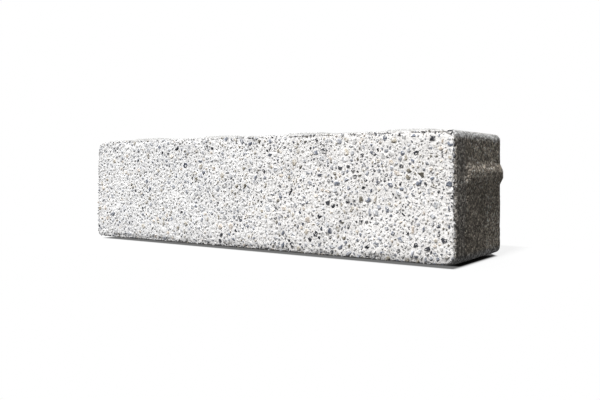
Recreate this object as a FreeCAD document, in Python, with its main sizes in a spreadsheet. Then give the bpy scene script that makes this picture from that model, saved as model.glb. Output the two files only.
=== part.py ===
"""Concrete paving stone: a long square-section block of pressed concrete, standing on one long side.

The frame: +Z up, +X along the stone, and -Y out of the exposed-aggregate wearing face. The origin is under
the middle of the stone, on the plane that the lower spacer nibs stand on. Sizes are in millimetres.

The stone is one piece. Its plan corners are rounded, its wearing face has a worn arris, and every side that
meets a neighbour carries spacer nibs, which set the joint. A nib starts behind the wearing face with a
short ramp and runs to the bed. The nibs of the two opposite sides match when the stone is turned half round.
"""

import FreeCAD, Part
import Sketcher
import os

DRIVING_SIZES = (
    # (alias, value, what it is)
    ("stone_length", 320, "along X, without nibs"),
    ("stone_width", 80, "height of the wearing face as it stands, without nibs"),
    ("stone_thickness", 80, "from the wearing face to the bed"),
    ("corner_radius", 4.5, "rounding of the four plan corners"),
    ("arris_radius", 1.6, "worn edge round the wearing face"),
    ("nib_height", 2.2, "how far a nib stands out, which is also the gap under the stone"),
    ("nib_setback", 15, "from the wearing face to the foot of a nib's ramp"),
    ("nib_ramp", 6, "length over which a nib rises to its full height"),
    ("nib_rounding", 2.5, "rounding where a nib's top meets its flanks and ramp"),
    ("side_nib_count", 4, "nibs on each long side"),
    ("side_nib_top", 28, "flat top of a long side's nib"),
    ("side_nib_flank", 4, "run of each sloping flank of a long side's nib"),
    ("end_nib_top", 5, "flat top of an end's nib"),
    ("end_nib_flank", 4.5, "run of each sloping flank of an end's nib"),
    ("end_nib_offset", 13, "from the middle of the end to its nib"),
)
SHEET = "Sizes"

SIDE_Z = "{0}.stone_width / 2".format(SHEET)
SIDE_TOP_Z = "{0}.stone_width / 2 + {0}.nib_height".format(SHEET)
END_X = "{0}.stone_length / 2".format(SHEET)
END_TOP_X = "{0}.stone_length / 2 + {0}.nib_height".format(SHEET)
BED_Y = "{0}.stone_thickness / 2".format(SHEET)
RAMP_FOOT_Y = "{0}.nib_setback - {0}.stone_thickness / 2".format(SHEET)
RAMP_HEAD_Y = "{0}.nib_setback + {0}.nib_ramp - {0}.stone_thickness / 2".format(SHEET)
NIB_RUN = "{0}.stone_thickness - {0}.nib_setback".format(SHEET)
NIB_PITCH = "{0}.stone_length / {0}.side_nib_count".format(SHEET)
FIRST_NIB_X = "{1} / 2 - {0}.stone_length / 2".format(SHEET, NIB_PITCH)
SIDE_NIB_FOOT = "({0}.side_nib_top / 2 + {0}.side_nib_flank)".format(SHEET)
SIDE_NIB_HALF_TOP = "{0}.side_nib_top / 2".format(SHEET)
END_NIB_FOOT = "({0}.end_nib_top / 2 + {0}.end_nib_flank)".format(SHEET)
END_NIB_HALF_TOP = "{0}.end_nib_top / 2".format(SHEET)
END_NIB_Z = "{0}.end_nib_offset".format(SHEET)

ROUGH_SQUARE = ((0, 0), (1, 0), (1, 1), (0, 1))  # corners of an outline before its constraints place them
TOUCHING = 1e-4  # two coordinates nearer than this are the same


def make_sheet(doc):
    """The spreadsheet of driving sizes."""
    sheet = doc.addObject("Spreadsheet::Sheet", SHEET)
    for row, (alias, value, meaning) in enumerate(DRIVING_SIZES, start=1):
        sheet.set("A%d" % row, alias)
        sheet.set("B%d" % row, str(value))
        sheet.setAlias("B%d" % row, alias)
        sheet.set("C%d" % row, meaning)
    doc.recompute()
    return sheet


def new_sketch(body, name, plane_role, offset=None):
    """A sketch on one of the body's origin planes, moved along its normal by the expression offset."""
    plane = next(f for f in body.Origin.OriginFeatures if f.Role == plane_role)
    sketch = body.newObject("Sketcher::SketchObject", name)
    sketch.AttachmentSupport = [(plane, "")]
    sketch.MapMode = "FlatFace"
    if offset:
        sketch.setExpression("AttachmentOffset.Base.z", offset)
    return sketch


def draw_outline(sketch, corners):
    """A closed outline of straight lines whose corners are given as pairs of expressions."""
    count = len(corners)
    before = [FreeCAD.Vector(*ROUGH_SQUARE[n]) for n in range(count)]
    for n in range(count):
        sketch.addGeometry(Part.LineSegment(before[n], before[(n + 1) % count]), False)
    for n, (across, along) in enumerate(corners):
        sketch.addConstraint(Sketcher.Constraint("Coincident", n, 1, (n - 1) % count, 2))
        for kind, expression in (("DistanceX", across), ("DistanceY", along)):
            index = sketch.addConstraint(Sketcher.Constraint(kind, -1, 1, n, 1, 1.0))
            sketch.renameConstraint(index, "%s%d" % (kind, n))
            sketch.setExpression("Constraints.%s%d" % (kind, n), expression)


def edges_of(shape, wanted):
    """The names of the shape's edges that wanted accepts."""
    return ["Edge%d" % n for n, edge in enumerate(shape.Edges, start=1) if wanted(edge)]


def all_at_y(edge, y):
    return abs(edge.BoundBox.YMin - y) < TOUCHING and abs(edge.BoundBox.YMax - y) < TOUCHING


def round_edges(body, name, base, names, radius):
    fillet = body.newObject("PartDesign::Fillet", name)
    fillet.Base = (base, names)
    fillet.setExpression("Radius", "%s.%s" % (SHEET, radius))
    body.Document.recompute()
    return fillet


def make_block(body, sheet):
    """The plain block with its plan corners and the arris of its wearing face rounded."""
    outline = new_sketch(body, "plan_outline", "XZ_Plane")
    draw_outline(
        outline,
        [
            ("-(%s)" % END_X, "-(%s)" % SIDE_Z),
            (END_X, "-(%s)" % SIDE_Z),
            (END_X, SIDE_Z),
            ("-(%s)" % END_X, SIDE_Z),
        ],
    )
    block = body.newObject("PartDesign::Pad", "block")
    block.Profile = outline
    block.Midplane = True
    block.setExpression("Length", "%s.stone_thickness" % SHEET)
    body.Document.recompute()

    through = edges_of(block.Shape, lambda edge: edge.BoundBox.YLength > TOUCHING)
    corners = round_edges(body, "plan_corners", block, through, "corner_radius")

    wearing_y = -sheet.stone_thickness / 2
    around_face = edges_of(corners.Shape, lambda e: all_at_y(e, wearing_y))
    return round_edges(body, "worn_arris", corners, around_face, "arris_radius")


def make_nib(body, name, section, wedge, wedge_plane, wedge_centre, wedge_width):
    """A nib of the given section from the ramp's foot to the bed, with the wedge above its ramp cut away."""
    profile = new_sketch(body, name + "_section", "XZ_Plane", "-(%s)" % BED_Y)
    draw_outline(profile, section)
    nib = body.newObject("PartDesign::Pad", name)
    nib.Profile = profile
    nib.setExpression("Length", NIB_RUN)

    ramp_profile = new_sketch(body, name + "_ramp_profile", wedge_plane, wedge_centre)
    draw_outline(ramp_profile, wedge)
    ramp = body.newObject("PartDesign::Pocket", name + "_ramp")
    ramp.Profile = ramp_profile
    ramp.Midplane = True
    ramp.setExpression("Length", wedge_width)
    body.Document.recompute()
    return [nib, ramp]


def make_side_nib(body):
    """The first nib of the upper long side."""
    section = [
        ("%s - %s" % (FIRST_NIB_X, SIDE_NIB_FOOT), SIDE_Z),
        ("%s + %s" % (FIRST_NIB_X, SIDE_NIB_FOOT), SIDE_Z),
        ("%s + %s" % (FIRST_NIB_X, SIDE_NIB_HALF_TOP), SIDE_TOP_Z),
        ("%s - %s" % (FIRST_NIB_X, SIDE_NIB_HALF_TOP), SIDE_TOP_Z),
    ]
    wedge = [(RAMP_FOOT_Y, SIDE_Z), (RAMP_HEAD_Y, SIDE_TOP_Z), (RAMP_FOOT_Y, SIDE_TOP_Z)]
    return make_nib(body, "side_nib", section, wedge, "YZ_Plane", FIRST_NIB_X, "2 * %s" % SIDE_NIB_FOOT)


def make_end_nib(body):
    """The nib of the +X end, above its middle."""
    section = [
        (END_X, "%s - %s" % (END_NIB_Z, END_NIB_FOOT)),
        (END_TOP_X, "%s - %s" % (END_NIB_Z, END_NIB_HALF_TOP)),
        (END_TOP_X, "%s + %s" % (END_NIB_Z, END_NIB_HALF_TOP)),
        (END_X, "%s + %s" % (END_NIB_Z, END_NIB_FOOT)),
    ]
    wedge = [(END_X, RAMP_FOOT_Y), (END_TOP_X, RAMP_HEAD_Y), (END_TOP_X, RAMP_FOOT_Y)]
    return make_nib(body, "end_nib", section, wedge, "XY_Plane", END_NIB_Z, "2 * %s" % END_NIB_FOOT)


def half_turn(body, name):
    """A pattern of two about the Y axis through the middle of the stone."""
    turn = body.newObject("PartDesign::PolarPattern", name)
    turn.Axis = (next(f for f in body.Origin.OriginFeatures if f.Role == "Y_Axis"), [""])
    turn.Angle = 360
    turn.Occurrences = 2
    return turn


def repeat_side_nib(body, features):
    """The row of nibs along the upper side, and the same row under the stone."""
    row = body.newObject("PartDesign::MultiTransform", "side_nibs")
    row.Originals = features
    along = body.newObject("PartDesign::LinearPattern", "side_nib_row")
    along.Direction = (next(f for f in body.Origin.OriginFeatures if f.Role == "X_Axis"), [""])
    along.setExpression("Length", "(%s.side_nib_count - 1) * %s" % (SHEET, NIB_PITCH))
    along.setExpression("Occurrences", "%s.side_nib_count" % SHEET)
    row.Transformations = [along, half_turn(body, "side_nib_turn")]
    body.Tip = row
    body.Document.recompute()
    return row


def repeat_end_nib(body, features):
    """The nib of the -X end, below its middle."""
    turn = half_turn(body, "end_nibs")
    turn.Originals = features
    body.Tip = turn
    body.Document.recompute()
    return turn


def round_nibs(body, base, sheet):
    """Softens the edges of every nib's flat top, except where the top ends at the bed."""
    top_z = sheet.stone_width / 2 + sheet.nib_height
    top_x = sheet.stone_length / 2 + sheet.nib_height
    bed_y = sheet.stone_thickness / 2

    def bounds_a_top(edge):
        box = edge.BoundBox
        on_side = min(abs(box.ZMin - top_z), abs(box.ZMax + top_z)) < TOUCHING and box.ZLength < TOUCHING
        on_end = min(abs(box.XMin - top_x), abs(box.XMax + top_x)) < TOUCHING and box.XLength < TOUCHING
        return (on_side or on_end) and not all_at_y(edge, bed_y)

    rounding = round_edges(body, "nib_rounding", base, edges_of(base.Shape, bounds_a_top), "nib_rounding")
    body.Tip = rounding
    body.Document.recompute()
    return rounding


def make_paving_stone(doc, sheet):
    body = doc.addObject("PartDesign::Body", "paving_stone")
    body.Label = "paving_stone"
    body.setExpression("Placement.Base.z", SIDE_TOP_Z)
    make_block(body, sheet)
    repeat_side_nib(body, make_side_nib(body))
    nibs = repeat_end_nib(body, make_end_nib(body))
    round_nibs(body, nibs, sheet)
    return body


def check(doc, bodies):
    """Stops if a feature failed or a sub-part's shape isn't one sound solid."""
    for item in doc.Objects:
        if "Invalid" in item.State or "Error" in item.State:
            raise RuntimeError("%s: %s" % (item.Name, item.State))
    for body in bodies:
        shape = body.Shape
        if shape.isNull() or not shape.isValid() or len(shape.Solids) != 1:
            raise RuntimeError("%s is not one valid solid" % body.Label)


def main():
    doc = FreeCAD.newDocument("paving_stone")
    sheet = make_sheet(doc)
    bodies = [make_paving_stone(doc, sheet)]
    doc.recompute()
    check(doc, bodies)
    os.makedirs("parts", exist_ok=True)
    for body in bodies:
        body.Shape.exportStep("parts/%s.step" % body.Label)
        box = body.Shape.BoundBox
        print("%s: %.1f cm3, X %.2f..%.2f, Y %.2f..%.2f, Z %.2f..%.2f, %d faces" % (
            body.Label, body.Shape.Volume / 1000, box.XMin, box.XMax, box.YMin, box.YMax, box.ZMin, box.ZMax,
            len(body.Shape.Faces)))


main()
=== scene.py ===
"""Looks of the concrete paving stone: its exposed-aggregate face, its sandy pressed sides and its bed.

The stone is one closed mesh, built in millimetres round the CAD model's box and scaled to metres at the end.
Three parts share their border vertices. The skin covers the wearing face, its worn arris and the first of
the sides, with every chip of stone a faceted polygon of its own. The band covers the four sides with their
nibs, and the bed closes the back.

A layer of noise is written as its height, the size of its waves in millimetres and its seed. A layer of
patches has two more numbers: the noise at which a patch begins, and the noise at which it is whole. Other
pairs of numbers named below are ranges: where a change begins and where it is complete, or least and most.
"""

import math

import bpy
import numpy as np
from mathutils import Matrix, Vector
from mathutils.geometry import delaunay_2d_cdt


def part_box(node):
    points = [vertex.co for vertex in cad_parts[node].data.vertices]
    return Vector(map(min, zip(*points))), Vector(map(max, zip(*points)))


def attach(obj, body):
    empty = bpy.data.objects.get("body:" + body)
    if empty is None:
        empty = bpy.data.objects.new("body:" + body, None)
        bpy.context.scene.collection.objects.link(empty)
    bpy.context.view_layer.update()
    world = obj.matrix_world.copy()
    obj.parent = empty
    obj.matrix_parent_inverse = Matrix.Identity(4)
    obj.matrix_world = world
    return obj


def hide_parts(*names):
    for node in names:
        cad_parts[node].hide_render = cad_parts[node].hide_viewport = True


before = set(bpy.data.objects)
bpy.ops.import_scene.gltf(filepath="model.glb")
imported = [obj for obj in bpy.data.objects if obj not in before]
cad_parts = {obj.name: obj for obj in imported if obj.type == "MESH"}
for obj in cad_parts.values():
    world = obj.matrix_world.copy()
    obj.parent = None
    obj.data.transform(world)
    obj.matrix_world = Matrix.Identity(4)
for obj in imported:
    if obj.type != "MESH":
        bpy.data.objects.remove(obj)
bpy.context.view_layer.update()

NODE = "paving_stone"
MM = 0.001

# The stone, in millimetres. The box comes from the CAD node, and the rest repeats the CAD sizes.
NIB_HEIGHT = 2.2
CORNER_RADIUS = 4.5
ARRIS_RADIUS = 1.2
INNER_RADIUS = CORNER_RADIUS - ARRIS_RADIUS  # plan corners of the flat face inside the arris
BED_WEAR = 0.7  # worn edge round the bed
low, high = (np.array(corner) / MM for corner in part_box(NODE))
CENTRE_Z = (low[2] + high[2]) / 2
HALF_LENGTH = (high[0] - low[0]) / 2 - NIB_HEIGHT
HALF_WIDTH = (high[2] - low[2]) / 2 - NIB_HEIGHT
HALF_FACE = np.array([HALF_LENGTH, HALF_WIDTH])
CORE = HALF_FACE - CORNER_RADIUS  # corner centres, seen from the front
TOP_Z = CENTRE_Z + HALF_WIDTH
FACE_Y, BED_Y = low[1], high[1]

SIDE_NIBS = 4
SIDE_NIB_PITCH = 2 * HALF_LENGTH / SIDE_NIBS
SIDE_NIB_CENTRES = [(n - (SIDE_NIBS - 1) / 2) * SIDE_NIB_PITCH for n in range(SIDE_NIBS)]
SIDE_NIB_TOP, SIDE_NIB_FLANK = 28.0, 4.0
END_NIB_TOP, END_NIB_FLANK, END_NIB_OFFSET = 5.0, 4.5, 13.0
RAMP_FOOT_Y, RAMP_HEAD_Y = FACE_Y + 15.0, FACE_Y + 21.0
NIB_SOFTNESS = 0.2
STRAIGHT = 0.99  # a normal with more than this along an axis belongs to a side's straight stretch
BOX_CLEARANCE = 0.005  # the sides' relief stays this far inside the CAD box

# Mesh density
BAND_STEP = 1.32
CORNER_STEPS = 6
BED_STEP, BED_SHAKE = 2.1, 0.38  # shake: how far a point lies off its place, against the step
CEMENT_STEP, CEMENT_SHAKE = 1.2, 0.4
SKIN_DEPTH = 1.8  # how far the skin reaches down the sides past the arris
ARRIS_LENGTH = ARRIS_RADIUS * math.pi / 2
SKIN_REACH = ARRIS_LENGTH + SKIN_DEPTH
CEMENT_BORDER_GAP, CHIP_BORDER_GAP, BED_BORDER_GAP = 0.45, 0.3, 0.8  # from a part's own points to its border
INSIDE_OUTLINES = 1  # the triangulation's kind of output
SAME_POINT = 1e-6  # points nearer than this are merged
TINY = 1e-9  # shorter lengths have no direction

# Relief of the sides and the bed
SIDE_SAND = ((0.15, 1.6, 11), (0.10, 4.0, 12), (0.12, 19.0, 13))
SIDE_PITS = ((0.75, 2.3, 14, 0.62, 0.95),)
BED_SEED = 31
BED_RECESS = 0.28
BED_SAND = ((0.16, 2.4, 32), (0.12, 12.0, 33))
BED_PITS = ((0.9, 3.6, 34, 0.45, 0.9),)

# Chips and cement of the wearing face. Lengths and widths of chips are half of the whole.
SKIN_SEED = 7
CHIP_SIZES = (  # shortest, longest, and tries per 100 mm2 of face
    (2.0, 2.9, 1.6),
    (1.45, 2.0, 4.5),
    (1.05, 1.45, 11.0),
    (0.7, 1.05, 28.0),
    (0.42, 0.7, 55.0),
)
CHIP_WIDTHS = (0.42, 0.95)  # against the length
LARGE_CHIP = 1.2  # chips longer than this are fewer towards the left end
LARGE_KEPT, LARGE_KEPT_SLOPE = 0.75, 0.4  # share kept at the middle, and how much more at the right end
CHIP_LOWEST = 1.15  # how far down the arris a chip's centre can lie, against the arris's length
CHIP_GAP = 0.14  # least cement between two chips
FACETED = 1.05  # chips at least this long have a flat top with an apex of its own
POINTED = 0.7  # chips shorter than this are a single point
SMALL_CORNERS, LARGE_CORNERS = (3, 6), (4, 7)  # fewest corners of a chip, and one past the most
CORNER_GAPS = (0.25, 1.0)  # uneven spacing of the corners
CHIP_DEPTHS = (0.03, 0.30)  # how far behind the CAD face a chip's top lies
SMALL_DEPTH = 0.10  # small chips lie this much deeper
TOP_SHARES = (0.58, 0.82)  # size of a chip's top against its outline
TOP_SHIFT, POINT_SHIFT, APEX_SHIFT = 0.1, 0.25, 0.15  # off the middle, against the length
TOP_TILT = 0.16
TOP_UNEVENNESS = 0.07
APEX_RISES = (-0.12, 0.16)
FACE_CLEARANCE = 0.01  # chips stay this far behind the CAD face
CEMENT_RECESS = 0.72  # the cement between the chips is washed back by this much
CEMENT_WAVES = ((0.09, 1.3, 21), (0.12, 9.0, 22))
CHIP_GROOVE = 0.2  # the cement lies deeper round a chip
CEMENT_GAP = 0.05  # between a chip and the next point of cement

# The arris. A reach is a distance outwards over the unrolled skin from the edge of the flat face.
END_STAND_OUT, LONG_STAND_OUT = 0.7, 0.35  # how far chips stand out of its rounding, at the ends and along it
STAND_OUT_FROM = (0.0, 0.6)  # against the arris's length
STAND_OUT_WIDTHS = (0.55, 1.35)  # widths of chips that stand out little and in full
LEAST_COSINE = 0.2  # keeps the room inside the square corner finite
MOSTLY_END = 0.7  # a direction with more of X than this faces an end of the stone
END_SIDE_START, LONG_SIDE_START = 0.9, 0.3  # share of the arris from which the relief turns into the sides'
SIDE_END_GAP = 0.1  # that turn is complete this far before the border
DENT_DEPTH = 0.9
FACE_DENTS = ((DENT_DEPTH, 3.4, 23, 0.05, 0.6), (DENT_DEPTH, 9.0, 24, 0.1, 0.6))
SIDE_DENTS = ((DENT_DEPTH, 4.2, 25, 0.05, 0.6), (DENT_DEPTH, 11.0, 28, 0.1, 0.7))
FACE_DENT_REACH = (-3.0, 0.3)
FACE_DENT_END, SIDE_DENT_START = (0.5, 1.0), (0.2, 0.8)  # against the arris's length
NEAR_CORNER = (-4.0, -1.0)  # over this distance to the plan corners the sides' dents fade out
LONG_DENTS = 0.3  # depth of the sides' dents on the long sides, against the ends
KNOCKS = (  # which corner of the wearing face is knocked round, how far it reaches and how deep it is
    ((-1, 1), 11.0, 2.6),
    ((1, -1), 9.0, 1.6),
)
KNOCK_BACKWARDS = 0.45  # how much of a knock goes into the depth

# The texture map
MAP_WIDTH = 342.0  # millimetres of the wearing face across the whole map
MAP_MARGIN = 0.012
HIDDEN_SCALE = 0.82  # scale of the sides and the bed against the wearing face

# Colours, linear
CEMENT_COLOUR = (0.90, 0.895, 0.892)
WARM_CEMENT = (1.0, 0.983, 0.963)  # tint of the cement towards the right end
BODY_COLOUR = (0.42, 0.368, 0.305)
FACING_COLOUR = (0.37, 0.337, 0.298)
PAINTED_HIGHLIGHT_COLOUR = (0.74, 0.735, 0.72)  # painted highlight on the rounded plan corners and the top near the face, as where light from above falls
PAINTED_LIT_TOP_COLOUR = (0.60, 0.585, 0.56)  # the top behind the facing mix, painted paler than the body as if lit from above
CHIP_COLOURS = (  # share, colour, from the darkest to the palest
    (0.02, (0.05, 0.052, 0.06)),
    (0.05, (0.11, 0.12, 0.15)),
    (0.03, (0.17, 0.155, 0.125)),
    (0.11, (0.24, 0.26, 0.31)),
    (0.05, (0.35, 0.32, 0.265)),
    (0.14, (0.42, 0.435, 0.475)),
    (0.05, (0.54, 0.495, 0.42)),
    (0.15, (0.62, 0.63, 0.65)),
    (0.06, (0.80, 0.71, 0.62)),
    (0.35, (0.88, 0.87, 0.855)),
)

# Where the sides' colours change, in millimetres
FACING_DEPTH, FACING_BLEND = 17.0, (-2.0, 2.0)
FACING_EDGE_WAVES = ((2.5, 9.0, 41),)
TOP_EDGE = (TOP_Z - 3.2, TOP_Z - 0.7)
TOP_ENDS = (HALF_LENGTH - 3, HALF_LENGTH - 1)
LIT_TOP_DEPTH = (24.0, 38.0)  # behind the face, where the top's painted highlight turns into its painted lit colour
CORNER_HIGHLIGHT = (-2.0, 2.5)  # into a plan corner, where its painted highlight comes in
MOTTLE = ((0.12, 14.0, 42), (0.09, 5.0, 43))
STREAKS = ((0.30, 1.9, 44, 0.05, 0.6),)
STREAK_STRETCH = (1, 1, 0.2)
STREAK_HEIGHT, STREAK_DEPTH = (25.0, 50.0), (-8.0, 18.0)
LOW_FRONT_SHADE = 0.30  # how much darker the ends are low down in front, where they have no streaks
# the sides are darker towards the floor
FOOT_DARKENING, FOOT_DARK_HEIGHT = 0.4, (2.0, 9.0)
SAND_ON_SIDE, SAND_ON_END, SAND_ON_LEFT_END = 0.24, 0.7, 0.4  # the last against the right end
SAND_OFF_TOP_EDGE = 0.4
END_EDGE, BED_EDGE = (HALF_LENGTH - 5.0, HALF_LENGTH - 1.0), (BED_Y - 2.5, BED_Y - 1.0)
TOP_SAND_EDGE = (TOP_Z - 4.2, TOP_Z + 0.3)
SIDE_REACH = (1.6, 2.7)  # the skin's colours turn into the sides' over this reach
SIDE_REACH_WAVES = ((0.5, 2.0, 51),)

# Darkening along the wearing face's lower edge, painted shade along its left edge, and tint of the wearing
# face
# the wearing face is darker towards its lower edge
LOW_DARKENING, LOW_DARK_HEIGHT = 0.36, (3.0, 7.2)
WIDE_LOW_DARKENING, WIDE_LOW_DARK_HEIGHT = 0.06, (6.0, 20.0)
LOW_DARK_WAVES = ((1.5, 5.0, 54),)
DARKENING_DEPTH = (4.0, 8.0)
# painted shade along the left edge of the wearing face, where its arris turns away from the light
PAINTED_LEFT_SHADE, PAINTED_LEFT_SHADE_EDGE = 0.22, (-HALF_LENGTH + 0.5, -HALF_LENGTH + 4.0)
WARM_FROM = (-0.7, 0.9)  # against the half length
WARM_WAVES = ((0.25, 40.0, 53),)
CEMENT_MOTTLE = ((0.04, 3.0, 52),)
CHIP_CLUSTERS = ((0.30, 8.0, 61),)
DARK_TO_THE_RIGHT = 0.19
DARKEST_RANK, PALEST_RANK = 0, 0.999
CHIP_LIGHTNESS = (0.85, 1.15)
FACET_LIGHTNESS = (0.62, 1.16)
FILM_SHARE = 0.3  # share of a chip's facets that a film of cement still hides
FILM_THICKNESS = (0.4, 1.0)
SIDE_OVER_CHIP = 0.9  # how much of the sides' colour covers a chip below the arris

# Grain of the material: scales per metre, a noise's detail and roughness, and the shades that each gives
GRAIN_SCALE, COARSE_SCALE = 1400.0, 760.0
FINE_NOISE, BROAD_NOISE, MINERAL_NOISE = (2300.0, 3.0, 0.65), (60.0, 4.0, 0.6), (1000.0, 4.0, 0.75)
WHOLE, MOST, MIDDLE = (0, 1), (0.3, 0.7), (0.35, 0.65)  # parts of a texture's range
SPECK_FROM, SPECK_SHADE = (0.9, 0.94), (1, 0.45)
SIDE_GRAIN, SIDE_FINE, SIDE_BRIGHT = (0.45, 1.55), (0.75, 1.25), (0.4, 2.7)
BRIGHT_RARITY = 2.5
PLAIN_SIDE = 0.92
FACE_GRAIN, FACE_FINE = (0.88, 1.05), (0.87, 1.07)
MINERAL_SHADE, BROAD_SHADE = (0.5, 1.5), (0.93, 1.07)
PALEST = (0.93, 0.93, 0.93)
GRAIN_HEIGHT, FINE_HEIGHT, COARSE_HEIGHT = -0.6, 0.8, -0.8
FACE_BUMP, SIDE_BUMP, CHIP_BUMP = 0.3, 1.0, 0.2
BUMP_DEPTH = 0.0008
CONCRETE_ROUGHNESS, MINERAL_ROUGHNESS = 0.93, (0.5, 0.75)
SHINE = 0.2

# Light
KEY_FROM = (0.03, -0.66, 0.75)
KEY_LEVEL = 1.27  # light on a surface that faces the lamp
KEY_WIDTH = 11.0
ROOM_LEVEL = 0.042
ROOM_BRIGHT_SIDES = (((-0.50, 0.75, 0.40), 0.7), ((-0.60, -0.75, 0.25), 0.55))
ROOM_NARROWNESS = 2.0  # the higher, the narrower the bright sides
ROOM_TINT, WHITE = (0.97, 0.98, 1, 1), (1, 1, 1, 1)

# Floor
FLOOR_HALF = 4.0  # metres
FLOOR_FADE = 0.07  # metres from the stone past which the camera sees plain white
FLOOR_LEAST_WHITE = 0.86  # how white the camera sees the floor beside the stone, whatever the shadow
FLOOR_TO_LIGHT, FLOOR_PAINTED_SHADOW, FLOOR_BESIDE = 0.12, 0.25, 0.88  # reflectance: to light, and to the camera in the painted shadow and beside it
DARK_FRONT, DARK_BACK, DARK_END = -36.8, 54.0, 159.0  # the floor under and close behind the stone gets a painted shadow, darker to the camera
DARK_CUT = 0.75  # slope of the dark part's ends behind the stone
DARK_FADE = 3.0
GAP_FRONT, PAINTED_GAP_LIGHT = (-26.0, -21.0), 0.17  # painted light: the camera sees a little white in the gap under the front

# Camera: level, with the horizon moved in the picture by the shift, so that upright edges stay parallel
CAMERA_PLACE = (0.3102, -0.4100, 0.0590)
CAMERA_YAW = 35.03
CAMERA_LENS = 40.40
CAMERA_SHIFT = -0.0521
CAMERA_SENSOR = 36.0


# ---------------------------------------------------------------- noise and curves


def smoothstep(start, end, value):
    """0 up to start, 1 from end on, and a smooth rise between them."""
    share = np.clip((value - start) / (end - start), 0, 1)
    return share * share * (3 - 2 * share)


def soft_min(a, b, softness):
    """The lower of two values, rounded where they cross."""
    overlap = np.maximum(softness - np.abs(a - b), 0) / softness
    return np.minimum(a, b) - overlap * overlap * softness / 4


def smooth_noise(points, size, seed):
    """Smooth random values from -1 to 1 that change over about size millimetres."""
    cells = 48
    lattice = np.random.default_rng(seed).uniform(-1, 1, (cells, cells, cells))
    scaled = np.asarray(points) / size
    cell = np.floor(scaled).astype(int)
    share = scaled - cell
    share = share * share * (3 - 2 * share)
    value = np.zeros(len(scaled))
    for dx in (0, 1):
        for dy in (0, 1):
            for dz in (0, 1):
                weight = np.prod(np.where([dx, dy, dz], share, 1 - share), axis=1)
                x, y, z = ((cell + [dx, dy, dz]) % cells).T
                value += weight * lattice[x, y, z]
    return value


def waves(points, layers):
    """The sum of some layers of noise."""
    return sum(height * smooth_noise(points, size, seed) for height, size, seed in layers)


def patches(points, layers):
    """The sum of some layers of patches."""
    return sum(height * smoothstep(start, whole, smooth_noise(points, size, seed))
               for height, size, seed, start, whole in layers)


# ---------------------------------------------------------------- the outline seen from the front


def divided(marks, step):
    """Positions from the first mark up to the last, through every mark, about one step apart."""
    positions = []
    for start, end in zip(marks, marks[1:]):
        count = max(1, round(abs(end - start) / step))
        positions += [start + (end - start) * n / count for n in range(count)]
    return positions


def marks_along(half, nib_centres, top, flank, direction):
    """Where one side's straight stretch ends and where its nibs' flanks begin and end, in walking order."""
    marks = [-half, half]
    for centre in nib_centres:
        marks += [centre + side * reach for side in (-1, 1) for reach in (top / 2, top / 2 + flank)]
    return sorted(marks, reverse=direction < 0)


def make_outline():
    """Points round the stone, as core points and outward normals, anticlockwise seen from the front."""
    core, normal = [], []

    def straight(positions, place, outward):
        core.extend(place(p) for p in positions)
        normal.extend([outward] * len(positions))

    def corner(centre, start_angle):
        for n in range(CORNER_STEPS):
            angle = start_angle + math.pi / 2 * n / CORNER_STEPS
            core.append(centre)
            normal.append((math.cos(angle), math.sin(angle)))

    x, z = CORE
    side_marks = {way: marks_along(x, SIDE_NIB_CENTRES, SIDE_NIB_TOP, SIDE_NIB_FLANK, way) for way in (1, -1)}
    right_marks = marks_along(z, [END_NIB_OFFSET], END_NIB_TOP, END_NIB_FLANK, 1)
    left_marks = marks_along(z, [-END_NIB_OFFSET], END_NIB_TOP, END_NIB_FLANK, -1)
    straight(divided(side_marks[1], BAND_STEP), lambda p: (p, -z), (0, -1))
    corner((x, -z), -math.pi / 2)
    straight(divided(right_marks, BAND_STEP), lambda p: (x, p), (1, 0))
    corner((x, z), 0)
    straight(divided(side_marks[-1], BAND_STEP), lambda p: (p, z), (0, 1))
    corner((-x, z), math.pi / 2)
    straight(divided(left_marks, BAND_STEP), lambda p: (-x, p), (-1, 0))
    corner((-x, -z), math.pi)
    return np.array(core), np.array(normal)


# ---------------------------------------------------------------- flat points, edges and triangles


def ring_edges(first, count):
    """The edges of a closed ring of points."""
    return [(first + n, first + (n + 1) % count) for n in range(count)]


def scattered(rng, half, step, shake):
    """Points about one step apart over a rectangle, each shaken off its place."""
    spots = [np.arange(-h + step / 2, h, step) for h in half]
    spread = np.stack(np.meshgrid(*spots), -1).reshape(-1, 2)
    return spread + rng.uniform(-shake, shake, spread.shape) * step


def triangulate(points, edges, name):
    """Triangles over flat points that keep the given edges and stay inside the outlines."""
    vectors = [Vector(p) for p in points]
    verts, _, tris, source, _, _ = delaunay_2d_cdt(vectors, edges, [], INSIDE_OUTLINES, SAME_POINT, True)
    if len(verts) != len(points):
        raise RuntimeError("outlines of the %s cross: %d points became %d" % (name, len(points), len(verts)))
    old = np.array([s[0] for s in source])
    return old[np.array(tris)]


def renumber(tris, border_count, border_start, own_start):
    """A part's triangles in the whole mesh's vertex numbers: its shared border's, and its own."""
    return np.where(tris < border_count, tris + border_start, tris - border_count + own_start)


# ---------------------------------------------------------------- the band: the four sides


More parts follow.
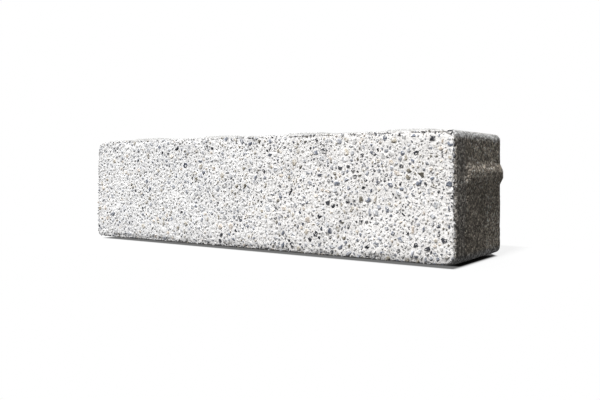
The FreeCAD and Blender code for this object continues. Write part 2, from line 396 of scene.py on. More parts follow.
def nib_rise(points, normals):
    """How far a nib stands out at each point of the sides, in millimetres."""
    rise = np.zeros(len(points))
    across_x, across_z = points[:, 0], points[:, 2] - CENTRE_Z
    rows = [(np.abs(normals[:, 2]) > STRAIGHT, across_x, centre, SIDE_NIB_TOP, SIDE_NIB_FLANK)
            for centre in SIDE_NIB_CENTRES]
    for way in (1, -1):
        on_end = normals[:, 0] * way > STRAIGHT
        rows.append((on_end, across_z, way * END_NIB_OFFSET, END_NIB_TOP, END_NIB_FLANK))
    for on_side, across, centre, top, flank in rows:
        from_foot = (top / 2 + flank - np.abs(across - centre)) * NIB_HEIGHT / flank
        up_ramp = (points[:, 1] - RAMP_FOOT_Y) * NIB_HEIGHT / (RAMP_HEAD_Y - RAMP_FOOT_Y)
        nib = soft_min(soft_min(from_foot, up_ramp, NIB_SOFTNESS), NIB_HEIGHT, NIB_SOFTNESS)
        nib = -soft_min(-nib, 0 * nib, NIB_SOFTNESS)
        rise = np.where(on_side, np.maximum(rise, nib), rise)
    return rise


def side_relief(points):
    """Sand, waves and small pits of the pressed sides, in millimetres, measured outwards."""
    return waves(points, SIDE_SAND) - patches(points, SIDE_PITS)


def band_rows():
    """Depths of the band's rings, from the skin's border to the bed."""
    start = FACE_Y + ARRIS_RADIUS + SKIN_DEPTH
    rows = divided([start, RAMP_FOOT_Y, RAMP_HEAD_Y, BED_Y - BED_WEAR], BAND_STEP)
    return np.array(rows + [BED_Y - BED_WEAR, BED_Y])


def make_band(core, normal):
    """The band's vertices ring by ring, from the skin's border to the bed, and the rings' depths."""
    rows = band_rows()
    places, outwards = [], []
    for row, y in enumerate(rows):
        out = CORNER_RADIUS - (BED_WEAR if row == len(rows) - 1 else 0)
        flat = core + normal * out
        places.append(np.column_stack([flat[:, 0], np.full(len(flat), y), flat[:, 1] + CENTRE_Z]))
        outwards.append(np.column_stack([normal[:, 0], np.zeros(len(flat)), normal[:, 1]]))
    place, outward = np.vstack(places), np.vstack(outwards)
    total = np.minimum(nib_rise(place, outward) + side_relief(place), NIB_HEIGHT - BOX_CLEARANCE)
    return place + outward * total[:, None], rows


def band_quads(around, ring_count):
    """The faces between neighbouring rings of the band."""
    ring = np.arange(around)
    after = (ring + 1) % around
    return np.vstack([
        np.column_stack([row * around + ring, (row + 1) * around + ring, (row + 1) * around + after,
                         row * around + after]) for row in range(ring_count - 1)])


# ---------------------------------------------------------------- the skin: wearing face and arris, unrolled


def reach_of(flat):
    """How far each point of the unrolled skin lies outside the flat part of the face, and which way."""
    beyond = np.abs(flat) - CORE
    outside = np.maximum(beyond, 0)
    length = np.linalg.norm(outside, axis=1)
    reach = length + np.minimum(beyond.max(axis=1), 0) - INNER_RADIUS
    direction = np.where(length[:, None] > TINY, outside / np.maximum(length, TINY)[:, None],
                         (beyond >= beyond.max(axis=1, keepdims=True)).astype(float))
    return reach, direction * np.where(flat < 0, -1, 1)


def faces_end(direction):
    """Whether each point of the skin lies towards an end of the stone."""
    return np.abs(direction[:, 0]) > MOSTLY_END


def wrap(flat):
    """Points of the unrolled skin folded round the arris onto the sides, and their outward normals."""
    reach, direction = reach_of(flat)
    angle = np.clip(reach / ARRIS_RADIUS, 0, math.pi / 2)
    down = np.maximum(reach - ARRIS_LENGTH, 0)
    out = np.maximum(reach, 0)
    edge = flat - direction * out[:, None]
    across, along = direction.T
    normal = np.column_stack([across * np.sin(angle), -np.cos(angle), along * np.sin(angle)])
    place = np.column_stack([
        edge[:, 0] + across * ARRIS_RADIUS * np.sin(angle),
        FACE_Y + ARRIS_RADIUS * (1 - np.cos(angle)) + down,
        edge[:, 1] + along * ARRIS_RADIUS * np.sin(angle) + CENTRE_Z,
    ])
    return place, normal


class Grid:
    """Keeps chips as circles, and says whether a new circle is clear of them."""

    def __init__(self, cell):
        self.cell = cell
        self.items = {}

    def key(self, x, z):
        return int(x // self.cell), int(z // self.cell)

    def add(self, x, z, radius):
        self.items.setdefault(self.key(x, z), []).append((x, z, radius))

    def is_free(self, x, z, radius):
        column, row = self.key(x, z)
        for i in (column - 1, column, column + 1):
            for j in (row - 1, row, row + 1):
                for other_x, other_z, other in self.items.get((i, j), ()):
                    if (x - other_x) ** 2 + (z - other_z) ** 2 < (radius + other) ** 2:
                        return False
        return True


def place_chips(rng):
    """Chips as centre, length, width and turn, the largest first, no two nearer than the gap.

    Each is kept clear as three circles along its length.
    """
    half = HALF_FACE + SKIN_REACH
    area = 4 * half[0] * half[1]
    grid = Grid(CHIP_SIZES[0][1] + CHIP_GAP)
    chips = []
    for smallest, largest, tries in CHIP_SIZES:
        count = int(area / 100 * tries)
        centres = rng.uniform(-half, half, (count, 2))
        lengths = rng.uniform(smallest, largest, count)
        widths = lengths * rng.uniform(*CHIP_WIDTHS, count)
        turns = rng.uniform(0, math.pi, count)
        reach, _ = reach_of(centres)
        share = LARGE_KEPT + LARGE_KEPT_SLOPE * centres[:, 0] / HALF_LENGTH if smallest > LARGE_CHIP else 1.0
        kept = rng.uniform(0, 1, count) < share
        for (x, z), length, width, turn, out, keep in zip(centres, lengths, widths, turns, reach, kept):
            past_border = out + length > SKIN_REACH - CHIP_BORDER_GAP
            if not keep or past_border or out > ARRIS_LENGTH * CHIP_LOWEST:
                continue
            along = (length - width) * np.array([math.cos(turn), math.sin(turn)])
            clear = width + CHIP_GAP / 2
            circles = [(x + way * along[0], z + way * along[1]) for way in (-1, 0, 1)]
            if all(grid.is_free(cx, cz, clear) for cx, cz in circles):
                for cx, cz in circles:
                    grid.add(cx, cz, clear)
                chips.append((x, z, length, width, turn))
    return chips, grid


def chip_outline(rng, length, width, turn):
    """A convex outline with a few uneven corners on an ellipse."""
    corners = rng.integers(*(SMALL_CORNERS if length < FACETED else LARGE_CORNERS))
    gaps = rng.uniform(*CORNER_GAPS, corners)
    angles = rng.uniform(0, 2 * math.pi) + np.cumsum(gaps) / gaps.sum() * 2 * math.pi
    x, z = length * np.cos(angles), width * np.sin(angles)
    return np.column_stack([x * math.cos(turn) - z * math.sin(turn), x * math.sin(turn) + z * math.cos(turn)])


def chip_top(rng, centre, outline, length):
    """The corners of a chip's top, and how high each stands."""
    highest = -rng.uniform(*CHIP_DEPTHS) - (SMALL_DEPTH if length < FACETED else 0)
    if length < POINTED:
        top = centre + rng.uniform(-POINT_SHIFT, POINT_SHIFT, (1, 2)) * length
        return top, np.full(1, highest)
    top = centre + outline * rng.uniform(*TOP_SHARES) + rng.uniform(-TOP_SHIFT, TOP_SHIFT, 2) * length
    tilt = rng.normal(0, TOP_TILT, 2)
    rise = highest + (top - centre) @ tilt + rng.uniform(-TOP_UNEVENNESS, TOP_UNEVENNESS, len(top))
    if length >= FACETED:
        apex = centre + rng.uniform(-APEX_SHIFT, APEX_SHIFT, 2) * length
        top = np.vstack([top, apex])
        rise = np.append(rise, highest + rng.uniform(*APEX_RISES))
    return top, rise


def shape_chips(rng, chips, first_index):
    """All chips' vertices: flat place, height, chip and width, and the edges of the chips' outlines.

    Each chip has its rim, which lies in the cement and has no height of its own, and then its top.
    """
    flats, rises, owners, widths, edges = [], [], [], [], []
    count = first_index
    for chip, (x, z, length, width, turn) in enumerate(chips):
        centre = np.array([x, z])
        outline = chip_outline(rng, length, width, turn)
        top, rise = chip_top(rng, centre, outline, length)
        total = len(outline) + len(top)
        edges += ring_edges(count, len(outline))
        flats += [centre + outline, top]
        rises += [np.full(len(outline), np.nan), rise]
        owners += [chip] * total
        widths += [width] * total
        count += total
    return np.vstack(flats), np.concatenate(rises), np.array(owners), np.array(widths), edges


def stand_out(flat, width):
    """How far chips stand out of the arris's rounding: within its square corner, and a little below it."""
    reach, direction = reach_of(flat)
    angle = np.clip(reach / ARRIS_RADIUS, 0, math.pi / 2)
    room = ARRIS_RADIUS * (1 / np.maximum(np.cos(angle), LEAST_COSINE) - 1)
    most = np.where(faces_end(direction), END_STAND_OUT, LONG_STAND_OUT)
    most = most * smoothstep(*STAND_OUT_FROM, reach / ARRIS_LENGTH)
    most = most * (1 - smoothstep(ARRIS_LENGTH, SKIN_REACH, reach))
    return np.minimum(most, room) * smoothstep(*STAND_OUT_WIDTHS, width)


def dents(flat):
    """How deep the arris is knocked away, on the wearing face's side and on the sides' side of it."""
    points = np.column_stack([flat, np.zeros(len(flat))])
    reach, direction = reach_of(flat)
    along_arris = reach / ARRIS_LENGTH
    on_face = smoothstep(*FACE_DENT_REACH, reach) * (1 - smoothstep(*FACE_DENT_END, along_arris))
    on_side = smoothstep(*SIDE_DENT_START, along_arris)
    on_side *= 1 - smoothstep(*NEAR_CORNER, np.min(np.abs(flat) - CORE, axis=1))
    on_side *= np.where(faces_end(direction), 1.0, LONG_DENTS)
    return patches(points, FACE_DENTS) * on_face + patches(points, SIDE_DENTS) * on_side


def cement_height(flat):
    """Height of the cement between the chips."""
    points = np.column_stack([flat, np.zeros(len(flat))])
    return waves(points, CEMENT_WAVES) - CEMENT_RECESS - dents(flat)


def make_skin(rng, border, first_index):
    """The unrolled skin's own vertices and their heights, its triangles, the chip each shows, and the chips.

    border are the unrolled border points, which the band shares as its first vertices. The skin's own start
    at first_index. A triangle of cement has -1 as its chip.
    """
    chips, grid = place_chips(rng)
    flat, rise, owner, width, chip_edges = shape_chips(rng, chips, len(border))
    cement = scattered(rng, HALF_FACE + SKIN_REACH, CEMENT_STEP, CEMENT_SHAKE)
    reach, _ = reach_of(cement)
    cement = cement[reach < SKIN_REACH - CEMENT_BORDER_GAP]
    cement = np.array([spot for spot in cement if grid.is_free(*spot, CEMENT_GAP)])

    chip_height = np.where(np.isnan(rise), cement_height(flat) - CHIP_GROOVE,
                           np.minimum(rise, -FACE_CLEARANCE) + stand_out(flat, width) - dents(flat))
    height = np.concatenate([chip_height, cement_height(cement)])
    everything = np.vstack([border, flat, cement])
    owner = np.concatenate([np.full(len(border), -1), owner, np.full(len(cement), -1)])
    tris = triangulate(everything, ring_edges(0, len(border)) + chip_edges, "skin")
    owners = owner[tris]
    within_chip = (owners[:, 0] == owners[:, 1]) & (owners[:, 1] == owners[:, 2])
    chip_of = np.where(within_chip, owners[:, 0], -1)
    return everything[len(border):], height, renumber(tris, len(border), 0, first_index), chip_of, chips


def fold_skin(flat, height):
    """The skin's own vertices in space. Down the arris their relief turns into the sides'."""
    reach, direction = reach_of(flat)
    place, outward = wrap(flat)
    side_start = ARRIS_LENGTH * np.where(faces_end(direction), END_SIDE_START, LONG_SIDE_START)
    to_side = smoothstep(side_start, SKIN_REACH - SIDE_END_GAP, reach)
    lift = height * (1 - to_side) + side_relief(place) * to_side
    return place + outward * lift[:, None]


# ---------------------------------------------------------------- the bed and the knocked corners


def make_bed(border, border_start, first_index):
    """The bed's own vertices and its triangles. border is its outline, seen from the front."""
    rng = np.random.default_rng(BED_SEED)
    spread = scattered(rng, HALF_FACE, BED_STEP, BED_SHAKE)
    reach, _ = reach_of(spread)
    spread = spread[reach < ARRIS_RADIUS - BED_WEAR - BED_BORDER_GAP]
    tris = triangulate(np.vstack([border, spread]), ring_edges(0, len(border)), "bed")[:, ::-1]
    points = np.column_stack([spread[:, 0], np.full(len(spread), BED_Y), spread[:, 1] + CENTRE_Z])
    points[:, 1] -= BED_RECESS + waves(points, BED_SAND) + patches(points, BED_PITS)
    return points, renumber(tris, len(border), border_start, first_index)


def knock_corners(points):
    """The stone's points with two of its corners knocked round."""
    for (x, z), reach, depth in KNOCKS:
        corner = np.array([x * HALF_LENGTH, FACE_Y, CENTRE_Z + z * HALF_WIDTH])
        away = np.linalg.norm(points - corner, axis=1)
        inwards = np.array([-x, KNOCK_BACKWARDS, -z]) / np.linalg.norm([x, KNOCK_BACKWARDS, z])
        points = points + (depth * (1 - smoothstep(0.0, reach, away)))[:, None] * inwards
    return points


# ---------------------------------------------------------------- colours


def side_colour(points):
    """The sides' own colour: body and facing mix, painted highlights on the rounded corners and the top, a
    darker foot, mottle and streaks.
    """
    x, y, z = points.T
    body, facing, worn, top = map(np.array, (BODY_COLOUR, FACING_COLOUR, PAINTED_HIGHLIGHT_COLOUR, PAINTED_LIT_TOP_COLOUR))
    facing_edge = FACE_Y + FACING_DEPTH + waves(points, FACING_EDGE_WAVES)
    is_facing = 1 - smoothstep(*FACING_BLEND, y - facing_edge)
    colour = body + is_facing[:, None] * (facing - body)
    into_corner = np.min(np.abs(points[:, [0, 2]] - [0, CENTRE_Z]) - CORE, axis=1)
    # worn is a painted highlight: the rounded plan corners and the top are painted paler, as lit from above
    colour += smoothstep(*CORNER_HIGHLIGHT, into_corner)[:, None] * (worn - colour)
    on_top = smoothstep(*TOP_EDGE, z) * (1 - smoothstep(*TOP_ENDS, abs(x)))
    lit_top = worn + smoothstep(*LIT_TOP_DEPTH, y - FACE_Y)[:, None] * (top - worn)
    colour += on_top[:, None] * (lit_top - colour)

    low = 1 - smoothstep(*STREAK_HEIGHT, z)
    behind = smoothstep(*STREAK_DEPTH, y)
    streaks = patches(points * STREAK_STRETCH, STREAKS) * low * behind
    # darker towards the floor
    darker_foot = 1 - FOOT_DARKENING * (1 - smoothstep(*FOOT_DARK_HEIGHT, z))
    shade = darker_foot * (1 + waves(points, MOTTLE) + streaks - LOW_FRONT_SHADE * low * (1 - behind))
    return colour * shade[:, None]


def sand_contrast(points):
    """How speckled the sides' sand is: most on the right end, and least along the top edges, under their
    painted light.
    """
    x, y, z = points.T
    on_end = smoothstep(*END_EDGE, np.abs(x)) * np.where(x > 0, 1, SAND_ON_LEFT_END)
    on_bed = smoothstep(*BED_EDGE, y)
    near_top_edge = smoothstep(*TOP_SAND_EDGE, z)
    return (SAND_ON_SIDE + SAND_ON_END * on_end * (1 - on_bed)) * (1 - SAND_OFF_TOP_EDGE * near_top_edge)


def lower_darkening_and_left_painted_shade(points):
    """How much the wearing face is darkened towards its lower edge, and its painted shade along the left
    edge.
    """
    x, y, z = points.T
    height = z + waves(points, LOW_DARK_WAVES)
    front = 1 - smoothstep(*DARKENING_DEPTH, y - FACE_Y)
    # painted shade along the left edge
    left = 1 - smoothstep(*PAINTED_LEFT_SHADE_EDGE, x)
    low = LOW_DARKENING * (1 - smoothstep(*LOW_DARK_HEIGHT, height))
    low += WIDE_LOW_DARKENING * (1 - smoothstep(*WIDE_LOW_DARK_HEIGHT, height))
    return (1 - front * low) * (1 - PAINTED_LEFT_SHADE * front * left)


def cement_colour(points):
    """The white cement, a little warmer towards the right end, darker towards the lower edge, with painted
    shade along the left edge.
    """
    warm = smoothstep(*WARM_FROM, points[:, 0] / HALF_LENGTH + waves(points, WARM_WAVES))[:, None]
    tint = 1 + warm * (np.array(WARM_CEMENT) - 1)
    shade = (1 + waves(points, CEMENT_MOTTLE)) * lower_darkening_and_left_painted_shade(points)
    return np.array(CEMENT_COLOUR) * tint * shade[:, None]


def chip_colours(rng, chips):
    """A colour for each chip. Dark chips lie in loose clusters, and there are fewer towards the left end."""
    shares = np.cumsum([share for share, _ in CHIP_COLOURS])
    places = np.array([(x, z, 0) for x, z, *_ in chips])
    rank = rng.uniform(0, 1, len(chips)) + waves(places, CHIP_CLUSTERS)
    rank -= DARK_TO_THE_RIGHT * places[:, 0] / HALF_LENGTH
    picks = np.searchsorted(shares / shares[-1], np.clip(rank, DARKEST_RANK, PALEST_RANK))
    colours = np.array([CHIP_COLOURS[pick][1] for pick in picks])
    return colours * rng.uniform(*CHIP_LIGHTNESS, (len(chips), 1))


def paint(rng, mesh, points, side, corners, skin_start, chip_of, chips):
    """Write the colours, and what else the material reads, onto every face corner.

    side says how much each vertex belongs to the sides. corners are the faces' vertex numbers. The skin's
    triangles start at skin_start among them, and chip_of is the chip that each triangle shows.
    """
    chip_tone = chip_colours(rng, chips)
    facet_tone = rng.uniform(*FACET_LIGHTNESS, len(chip_of))
    has_film = rng.uniform(0, 1, len(chip_of)) < FILM_SHARE
    film = np.where(has_film, rng.uniform(*FILM_THICKNESS, len(chip_of)), 0)

    between = side_colour(points) * side[:, None] + cement_colour(points) * (1 - side[:, None])
    tone = between[corners]
    facet = np.zeros(len(corners))
    of_chips = np.flatnonzero(chip_of >= 0)
    triangle = np.repeat(of_chips, 3)
    place = skin_start + 3 * triangle + np.tile([0, 1, 2], len(of_chips))
    bare = ((1 - SIDE_OVER_CHIP * side[corners[place]]) * (1 - film[triangle]))[:, None]
    stone = chip_tone[chip_of[triangle]] * facet_tone[triangle][:, None]
    # darker towards the lower edge, and painted shade along the left edge
    darkening = lower_darkening_and_left_painted_shade(points)[corners[place]][:, None]
    tone[place] = darkening * (stone * bare + tone[place] * (1 - bare))
    facet[place] = 1 - film[triangle]

    write = {
        "sand_contrast": ("FLOAT", "value", sand_contrast(points)[corners]),
        "tone": ("FLOAT_COLOR", "color", np.column_stack([tone, np.ones(len(corners))])),
        "side": ("FLOAT", "value", side[corners]),
        "facet": ("FLOAT", "value", facet),
    }
    for name, (kind, field, values) in write.items():
        layer = mesh.attributes.new(name, kind, "CORNER")
        layer.data.foreach_set(field, values.astype(np.float32).ravel())


# ---------------------------------------------------------------- the texture map and the whole mesh


def island(flat, left, bottom, scale):
    """A part of the texture map, from flat positions in millimetres."""
    return (flat - flat.min(axis=0)) * scale / MAP_WIDTH + [left, bottom]


def lay_out_map(core, normal, rows, flat, skin_tris, bed, bed_tris, starts):
    """Texture coordinates of every face corner: the band cut into two strips, the skin and the bed.

    starts are the numbers of the skin's first own vertex, the bed's first own and the last ring's first.
    """
    around = len(core)
    skin_start, bed_start, last_ring = starts
    skin = np.vstack([core + normal * (INNER_RADIUS + SKIN_REACH), flat])
    skin_corner = np.where(skin_tris < around, skin_tris, skin_tris - skin_start + around)
    skin_map = island(skin, MAP_MARGIN, MAP_MARGIN, 1.0)
    bottom = skin_map[:, 1].max() + MAP_MARGIN

    back = np.vstack([core + normal * CORNER_RADIUS, bed[:, [0, 2]] - [0, CENTRE_Z]]) * [-1, 1]
    bed_corner = np.where(bed_tris < bed_start, bed_tris - last_ring, bed_tris - bed_start + around)
    bed_map = island(back, MAP_MARGIN, bottom, HIDDEN_SCALE)
    bottom = bed_map[:, 1].max() + MAP_MARGIN

    outline = core + normal * CORNER_RADIUS
    step = np.linalg.norm(np.roll(outline, -1, axis=0) - outline, axis=1)
    along = np.concatenate([[0], np.cumsum(step)])
    half_way = int(np.searchsorted(along, along[-1] / 2))
    depth = BED_Y - rows
    quads = []
    for row in range(len(rows) - 1):
        near, far = np.full(around, depth[row]), np.full(around, depth[row + 1])
        four = ((along[:-1], near), (along[:-1], far), (along[1:], far), (along[1:], near))
        quads.append(np.stack([np.column_stack(corner) for corner in four], axis=1))
    quads = np.stack(quads)
    strips = np.zeros_like(quads)
    for first, last in ((0, half_way), (half_way, around)):
        part = quads[:, first:last]
        laid = island(part.reshape(-1, 2), MAP_MARGIN, bottom, HIDDEN_SCALE)
        strips[:, first:last] = laid.reshape(part.shape)
        bottom = laid[:, 1].max() + MAP_MARGIN
    return np.vstack([strips.reshape(-1, 2), skin_map[skin_corner.ravel()], bed_map[bed_corner.ravel()]])


def build_mesh(points, quads, skin_tris, bed_tris, chip_of):
    """The mesh and its faces' vertex numbers in order. Chips are shaded flat, and the rest smooth."""
    corners = np.concatenate([quads.ravel(), skin_tris.ravel(), bed_tris.ravel()])
    sizes = np.concatenate([np.full(len(quads), 4), np.full(len(skin_tris) + len(bed_tris), 3)])
    starts = np.concatenate([[0], np.cumsum(sizes)[:-1]])
    is_smooth = np.concatenate([np.full(len(quads), True), chip_of < 0, np.full(len(bed_tris), True)])
    mesh = bpy.data.meshes.new("paving_stone_surface")
    mesh.vertices.add(len(points))
    mesh.vertices.foreach_set("co", (points * MM).astype(np.float32).ravel())
    mesh.loops.add(len(corners))
    mesh.loops.foreach_set("vertex_index", corners.astype(np.int32))
    mesh.polygons.add(len(sizes))
    mesh.polygons.foreach_set("loop_start", starts.astype(np.int32))
    mesh.polygons.foreach_set("use_smooth", is_smooth)
    return mesh, corners


def make_stone():
    """The stone as one object: the band's, the skin's and the bed's vertices, in that order."""
    rng = np.random.default_rng(SKIN_SEED)
    core, normal = make_outline()
    around = len(core)
    band, rows = make_band(core, normal)
    border = core + normal * (INNER_RADIUS + SKIN_REACH)
    flat, height, skin_tris, chip_of, chips = make_skin(rng, border, len(band))
    skin = fold_skin(flat, height)
    last_ring, bed_start = len(band) - around, len(band) + len(skin)
    bed, bed_tris = make_bed(core + normal * (CORNER_RADIUS - BED_WEAR), last_ring, bed_start)
    points = knock_corners(np.vstack([band, skin, bed]))
    quads = band_quads(around, len(rows))
    mesh, corners = build_mesh(points, quads, skin_tris, bed_tris, chip_of)

    reach, _ = reach_of(flat)
    skin_side = smoothstep(*SIDE_REACH, reach + waves(skin, SIDE_REACH_WAVES))
    side = np.concatenate([np.ones(len(band)), skin_side, np.ones(len(bed))])
    paint(rng, mesh, points, side, corners, 4 * len(quads), chip_of, chips)
    map_layer = mesh.uv_layers.new(name="OFBake")
    starts = (len(band), bed_start, last_ring)
    places = lay_out_map(core, normal, rows, flat, skin_tris, bed, bed_tris, starts)
    map_layer.data.foreach_set("uv", places.astype(np.float32).ravel())
    mesh.update(calc_edges=True)
    mesh.validate()
    stone = bpy.data.objects.new("paving_stone_surface", mesh)
    bpy.context.scene.collection.objects.link(stone)
    print("stone:", len(points), "vertices,", 2 * len(quads) + len(skin_tris) + len(bed_tris), "triangles,",
          len(chips), "chips")
    return stone


# ---------------------------------------------------------------- materials


class Nodes:
    """A short way to add and link shader nodes."""

    def __init__(self, tree):
        self.tree = tree
        tree.nodes.clear()

    def add(self, kind, inputs=None, **settings):
        node = self.tree.nodes.new(kind)
        for name, value in settings.items():
            setattr(node, name, value)
        for name, value in (inputs or {}).items():
            if isinstance(value, bpy.types.NodeSocket):
                self.tree.links.new(value, node.inputs[name])
            else:
                node.inputs[name].default_value = value
        return node

    def maths(self, operation, *values):
        return self.add("ShaderNodeMath", dict(enumerate(values)), operation=operation).outputs[0]

    def between(self, value, old, new):
        """The value moved from its old range to a new one."""
        values = {"Value": value, "From Min": old[0], "From Max": old[1], "To Min": new[0], "To Max": new[1]}
        return self.add("ShaderNodeMapRange", values).outputs[0]

    def blend(self, share, first, second):
        return self.add("ShaderNodeMix", {0: share, 2: first, 3: second}, data_type="FLOAT").outputs[0]

    def channel(self, texture, number):
        """One channel of a texture's random colours."""
        return self.add("ShaderNodeSeparateColor", {"Color": texture.outputs["Color"]}).outputs[number]

    def attribute(self, name, output="Fac"):
        return self.add("ShaderNodeAttribute", attribute_name=name).outputs[output]

    def seen_plainly(self):
        """1 for what the camera sees, straight or mirrored, and 0 for the light that falls on things."""
        path = self.add("ShaderNodeLightPath").outputs
        mirrored = self.maths("MAXIMUM", path["Is Glossy Ray"], path["Is Transmission Ray"])
        return self.maths("MAXIMUM", path["Is Camera Ray"], mirrored)


def concrete_material():
    """Concrete in the mesh's own colours, with grain in its sand and minerals in its chips."""
    material = bpy.data.materials.new("concrete")
    material.use_nodes = True
    n = Nodes(material.node_tree)
    place = n.add("ShaderNodeTexCoord").outputs["Object"]
    tone = n.attribute("tone", "Color")
    side, facet, contrast = n.attribute("side"), n.attribute("facet"), n.attribute("sand_contrast")

    def noise(scale, detail, roughness):
        values = {"Vector": place, "Scale": scale, "Detail": detail, "Roughness": roughness}
        return n.add("ShaderNodeTexNoise", values).outputs["Fac"]

    grain = n.add("ShaderNodeTexVoronoi", {"Vector": place, "Scale": GRAIN_SCALE})
    coarse = n.add("ShaderNodeTexVoronoi", {"Vector": place, "Scale": COARSE_SCALE})
    fine = noise(*FINE_NOISE)
    broad = noise(*BROAD_NOISE)
    minerals = noise(*MINERAL_NOISE)
    grain_shade = n.channel(grain, 0)
    speck = n.between(n.channel(grain, 2), SPECK_FROM, SPECK_SHADE)
    bright_grain = n.maths("POWER", n.channel(coarse, 1), BRIGHT_RARITY)

    def sand_shade(grains, fines):
        return n.maths("MULTIPLY", n.between(grain_shade, WHOLE, grains), n.between(fine, MOST, fines))

    sand_side = sand_shade(SIDE_GRAIN, SIDE_FINE)
    sand_side = n.maths("MULTIPLY", sand_side, n.between(bright_grain, WHOLE, SIDE_BRIGHT))
    sand_side = n.blend(contrast, PLAIN_SIDE, sand_side)
    sand_face = n.maths("MULTIPLY", sand_shade(FACE_GRAIN, FACE_FINE), speck)
    sand = n.blend(side, sand_face, sand_side)
    shade = n.blend(facet, sand, n.between(minerals, MIDDLE, MINERAL_SHADE))
    shade = n.maths("MULTIPLY", shade, n.between(broad, MOST, BROAD_SHADE))
    colour = n.add("ShaderNodeVectorMath", {0: tone, "Scale": shade}, operation="SCALE").outputs[0]
    colour = n.add("ShaderNodeVectorMath", {0: colour, 1: PALEST}, operation="MINIMUM").outputs[0]

    grain_height = n.maths("MULTIPLY", grain.outputs["Distance"], GRAIN_HEIGHT)
    coarse_height = n.maths("MULTIPLY", coarse.outputs["Distance"], n.maths("MULTIPLY", side, COARSE_HEIGHT))
    height = n.maths("ADD", grain_height, n.maths("MULTIPLY", fine, FINE_HEIGHT))
    height = n.maths("ADD", height, coarse_height)
    height = n.maths("MULTIPLY", height, n.blend(facet, n.blend(side, FACE_BUMP, SIDE_BUMP), CHIP_BUMP))
    bump = n.add("ShaderNodeBump", {"Height": height, "Strength": 1.0, "Distance": BUMP_DEPTH})
    rough = n.blend(facet, CONCRETE_ROUGHNESS, n.between(minerals, MOST, MINERAL_ROUGHNESS))
    shader = n.add("ShaderNodeBsdfPrincipled", {
        "Base Color": colour,
        "Roughness": rough,
        "Normal": bump.outputs["Normal"],
        "Specular IOR Level": SHINE,
    })
    n.add("ShaderNodeOutputMaterial", {"Surface": shader.outputs[0]})
    return material


def floor_material():
    """Pale floor that keeps the shadow close to the stone and is plain white to the camera farther off, with
    a painted shadow under and close behind the stone and painted light in the gap under the front.
    """
    material = bpy.data.materials.new("floor")
    material.use_nodes = True
    n = Nodes(material.node_tree)
    seen = n.seen_plainly()
    place = n.add("ShaderNodeSeparateXYZ", {0: n.add("ShaderNodeTexCoord").outputs["Object"]})
    x, y = place.outputs[0], place.outputs[1]
    size_x, size_y = n.maths("ABSOLUTE", x), n.maths("ABSOLUTE", y)

    # how far a point lies from the stone
    beyond = [n.maths("SUBTRACT", size_x, HALF_LENGTH * MM), n.maths("SUBTRACT", size_y, BED_Y * MM)]
    out = [n.maths("POWER", n.maths("MAXIMUM", value, 0.0), 2.0) for value in beyond]
    away = n.maths("SQRT", n.maths("ADD", out[0], out[1]))

    # how far it lies outside the painted shadow, whose ends are cut at a slope behind the stone
    dark_middle, dark_half = (DARK_BACK + DARK_FRONT) / 2 * MM, (DARK_BACK - DARK_FRONT) / 2 * MM
    past_depth = n.maths("SUBTRACT", n.maths("ABSOLUTE", n.maths("SUBTRACT", y, dark_middle)), dark_half)
    behind = n.maths("MAXIMUM", n.maths("SUBTRACT", y, BED_Y * MM), 0.0)
    sloped = n.maths("ADD", size_x, n.maths("MULTIPLY", behind, DARK_CUT))
    past_end = n.maths("SUBTRACT", sloped, DARK_END * MM)
    under = n.between(n.maths("MAXIMUM", past_depth, past_end), (-DARK_FADE * MM, 0.0), (0.0, 1.0))

    # painted light: a little white shows to the camera in the gap under the front
    gap = n.between(y, [edge * MM for edge in GAP_FRONT], (PAINTED_GAP_LIGHT, 0.0))
    near = n.blend(under, gap, FLOOR_LEAST_WHITE)
    share = n.maths("MAXIMUM", near, n.between(away, (0.0, FLOOR_FADE), (0.0, 1.0)))
    # to the camera, the floor in the painted shadow is darker than beside it
    albedo = n.blend(seen, FLOOR_TO_LIGHT, n.blend(under, FLOOR_PAINTED_SHADOW, FLOOR_BESIDE))
    colour = n.add("ShaderNodeCombineColor", {0: albedo, 1: albedo, 2: albedo}).outputs[0]
    lit = n.add("ShaderNodeBsdfDiffuse", {"Color": colour}).outputs[0]
    white = n.add("ShaderNodeEmission", {"Color": WHITE, "Strength": 1.0}).outputs[0]
    mixed = n.add("ShaderNodeMixShader", {0: n.maths("MULTIPLY", seen, share), 1: lit, 2: white}).outputs[0]
    n.add("ShaderNodeOutputMaterial", {"Surface": mixed})
    return material


# ---------------------------------------------------------------- floor, light and camera


def make_floor():
    """A plain level floor under the stone."""
    mesh = bpy.data.meshes.new("floor")
    corners = [(x * FLOOR_HALF, y * FLOOR_HALF, 0) for x, y in ((-1, -1), (1, -1), (1, 1), (-1, 1))]
    mesh.from_pydata(corners, [], [(0, 1, 2, 3)])
    floor = bpy.data.objects.new("floor", mesh)
    bpy.context.scene.collection.objects.link(floor)
    mesh.materials.append(floor_material())


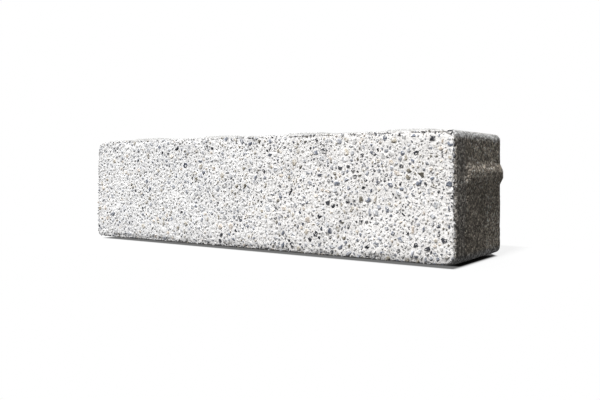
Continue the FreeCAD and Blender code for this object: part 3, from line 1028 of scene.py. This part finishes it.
def light_room():
    """A dim room that is brighter to the left, and plain white to the camera."""
    world = bpy.data.worlds.new("studio")
    bpy.context.scene.world = world
    world.use_nodes = True
    n = Nodes(world.node_tree)
    seen = n.seen_plainly()
    way = n.add("ShaderNodeTexCoord").outputs["Generated"]
    strength = ROOM_LEVEL
    for side, level in ROOM_BRIGHT_SIDES:
        towards = n.add("ShaderNodeVectorMath", {0: way, 1: tuple(Vector(side).normalized())},
                        operation="DOT_PRODUCT").outputs["Value"]
        bright = n.maths("POWER", n.maths("MAXIMUM", towards, 0.0), ROOM_NARROWNESS)
        strength = n.maths("ADD", n.maths("MULTIPLY", bright, level), strength)
    soft = n.add("ShaderNodeBackground", {"Color": ROOM_TINT, "Strength": strength}).outputs[0]
    white = n.add("ShaderNodeBackground", {"Color": WHITE, "Strength": 1.0}).outputs[0]
    mixed = n.add("ShaderNodeMixShader", {0: seen, 1: soft, 2: white}).outputs[0]
    n.add("ShaderNodeOutputWorld", {"Surface": mixed})


def hang_lamp():
    """One soft lamp from above the wearing face."""
    lamp = bpy.data.lights.new("key", "SUN")
    lamp.energy = KEY_LEVEL * math.pi
    lamp.angle = math.radians(KEY_WIDTH)
    holder = bpy.data.objects.new("key", lamp)
    holder.rotation_euler = (-Vector(KEY_FROM)).to_track_quat("-Z", "Y").to_euler()
    bpy.context.scene.collection.objects.link(holder)


def place_camera():
    """A level camera that looks at the wearing face and the right end."""
    data = bpy.data.cameras.new("camera")
    data.sensor_width = CAMERA_SENSOR
    data.lens = CAMERA_LENS
    data.shift_y = CAMERA_SHIFT
    camera = bpy.data.objects.new("camera", data)
    camera.location = CAMERA_PLACE
    camera.rotation_euler = (math.pi / 2, 0, math.radians(CAMERA_YAW))
    bpy.context.scene.collection.objects.link(camera)
    bpy.context.scene.camera = camera


def main():
    """The stone in its place in the frame, and the studio round it."""
    bpy.context.scene.view_settings.view_transform = "Standard"
    stone = make_stone()
    stone.data.materials.append(concrete_material())
    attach(stone, "root")
    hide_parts(NODE)
    make_floor()
    light_room()
    hang_lamp()
    place_camera()


main()
